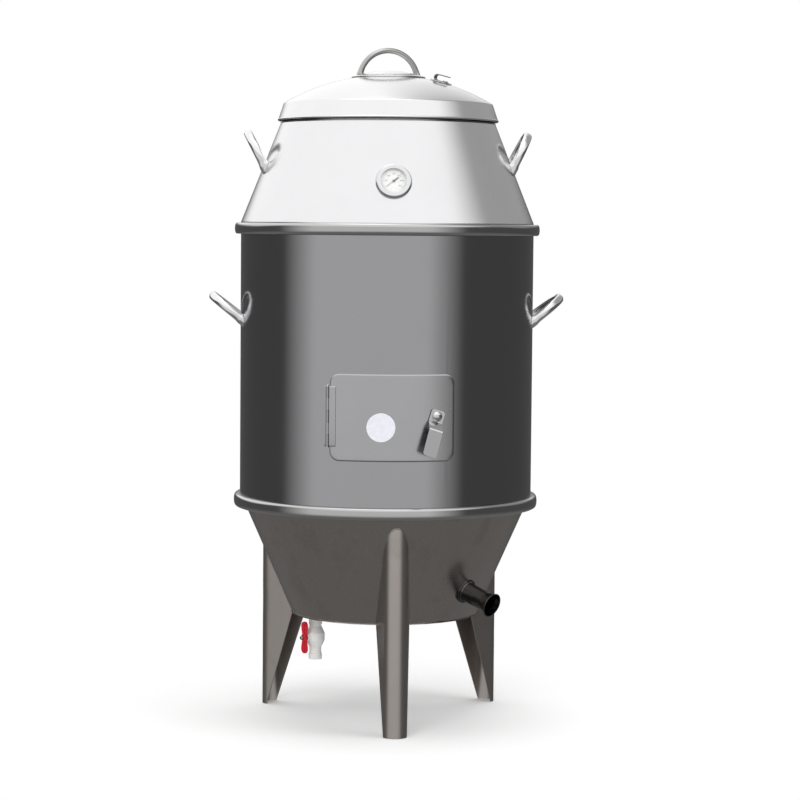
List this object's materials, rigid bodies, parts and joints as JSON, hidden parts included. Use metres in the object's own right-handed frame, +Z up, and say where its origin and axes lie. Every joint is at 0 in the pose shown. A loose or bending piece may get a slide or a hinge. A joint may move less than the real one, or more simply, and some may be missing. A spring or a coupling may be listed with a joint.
{
  "type": "duck roasting oven",
  "caption": "Upright insulated steel barrel oven for roasting ducks, on three folded legs, with a fuel door, dial thermometer, domed lid and drain valve.",
  "frame": {"origin": "middle of the oven's outline seen from above, at floor level; the barrel's axis stands 9 mm behind it", "axes": "+Z up, parallel to the barrel's axis, -Y out of the front through the fuel door and thermometer, +X to the right seen from the front"},
  "size_m": [0.8012, 0.7046, 1.5095],
  "materials": {
    "barrel_steel": "fine vertical brushing",
    "hood_steel": "bright, lightly brushed",
    "base_steel": "satin",
    "inner_steel": "mill finish",
    "cast_iron": "heat blackened",
    "mineral_wool": "fibrous",
    "white_plastic": "smooth moulded",
    "red_plastic": "smooth moulded",
    "white_paint": "flat white",
    "black_paint": "flat black",
    "glass": "clear",
    "brass": "turned"
  },
  "bodies": {
    "base": {"base_cone": "base_steel", "base_bottom": "base_steel", "leg_front": "base_steel", "leg_right": "base_steel", "leg_left": "base_steel", "lower_ring": "base_steel", "air_pipe": "inner_steel", "drain_pipe": "base_steel", "valve_body": "white_plastic"},
    "valve": {"valve_ball": "white_plastic", "valve_stem": "brass", "valve_handle": "red_plastic", "valve_screw": "base_steel"},
    "firepot": {"firepot": "cast_iron"},
    "grate": {"fire_grate": "cast_iron"},
    "grease_pan": {"grease_pan": "inner_steel"},
    "barrel": {"barrel_shell": "barrel_steel", "barrel_liner_front": "inner_steel", "barrel_liner_back": "inner_steel", "barrel_foot_ring": "inner_steel", "barrel_insulation": "mineral_wool", "upper_ring": "barrel_steel", "door_frame": "inner_steel", "barrel_handle_right": "hood_steel", "barrel_handle_left": "hood_steel", "hook_ledge": "inner_steel", "frame_hinge_leaf": "barrel_steel", "hinge_pin": "barrel_steel"},
    "hook_ring": {"hook_ring": "inner_steel"},
    "door": {"door_panel": "hood_steel", "door_pan": "inner_steel", "door_insulation": "mineral_wool", "door_disc": "white_paint", "door_hinge_leaf": "hood_steel"},
    "latch": {"latch_bolt": "hood_steel", "latch_washer": "hood_steel", "latch_lever": "hood_steel", "latch_tongue": "inner_steel", "latch_nut": "inner_steel"},
    "hood": {"hood_cone": "hood_steel", "hood_neck_1": "hood_steel", "hood_neck_2": "hood_steel", "hood_neck_3": "hood_steel", "hood_neck_4": "hood_steel", "hood_handle_right": "hood_steel", "hood_handle_left": "hood_steel", "gauge_case": "hood_steel", "gauge_dial": "white_paint", "gauge_glass": "glass", "gauge_probe": "brass", "gauge_nut": "brass"},
    "needle": {"gauge_needle": "black_paint"},
    "lid": {"lid_band": "hood_steel", "lid_dome": "hood_steel", "lid_cap": "hood_steel", "lid_handle": "hood_steel", "vent_rivet": "hood_steel"},
    "vent": {"vent_cover": "hood_steel"}
  },
  "joints": [
    {"name": "barrel_lift", "type": "slide", "parent": "base", "child": "barrel", "axis": [0, 0, 1], "range_m": [0, 0.3]},
    {"name": "hood_lift", "type": "slide", "parent": "barrel", "child": "hood", "axis": [0, 0, 1], "range_m": [0, 0.3]},
    {"name": "lid_lift", "type": "slide", "parent": "hood", "child": "lid", "axis": [0, 0, 1], "range_m": [0, 0.25]},
    {"name": "vent_turn", "type": "hinge", "parent": "lid", "child": "vent", "pos_m": [0.12642, 0.00097, 1.43178], "axis": [0.2508, -0.0863, 0.9642], "range_deg": [0, 90]},
    {"name": "door_swing", "type": "hinge", "parent": "barrel", "child": "door", "pos_m": [-0.1392, -0.29485, 0.701], "axis": [0, 0, 1], "range_deg": [-120, 0]},
    {"name": "latch_turn", "type": "hinge", "parent": "door", "child": "latch", "pos_m": [0.095, -0.30937, 0.703], "axis": [0.2863, -0.9581, 0], "range_deg": [0, 108]},
    {"name": "valve_turn", "type": "hinge", "parent": "base", "child": "valve", "pos_m": [-0.15787, -0.04892, 0.185], "axis": [-0.7934, -0.6088, 0], "range_deg": [0, 90]},
    {"name": "needle_turn", "type": "hinge", "parent": "hood", "child": "needle", "pos_m": [0, -0.28638, 1.205], "axis": [0, -0.9291, 0.3699], "range_deg": [-250, 0]},
    {"name": "hook_ring_lift", "type": "slide", "parent": "barrel", "child": "hook_ring", "axis": [0, 0, 1], "range_m": [0, 0.1]},
    {"name": "firepot_lift", "type": "slide", "parent": "base", "child": "firepot", "axis": [0, 0, 1], "range_m": [0, 0.25]},
    {"name": "grate_lift", "type": "slide", "parent": "firepot", "child": "grate", "axis": [0, 0, 1], "range_m": [0, 0.15]},
    {"name": "grease_pan_lift", "type": "slide", "parent": "base", "child": "grease_pan", "axis": [0, 0, 1], "range_m": [0, 0.1]}
  ]
}
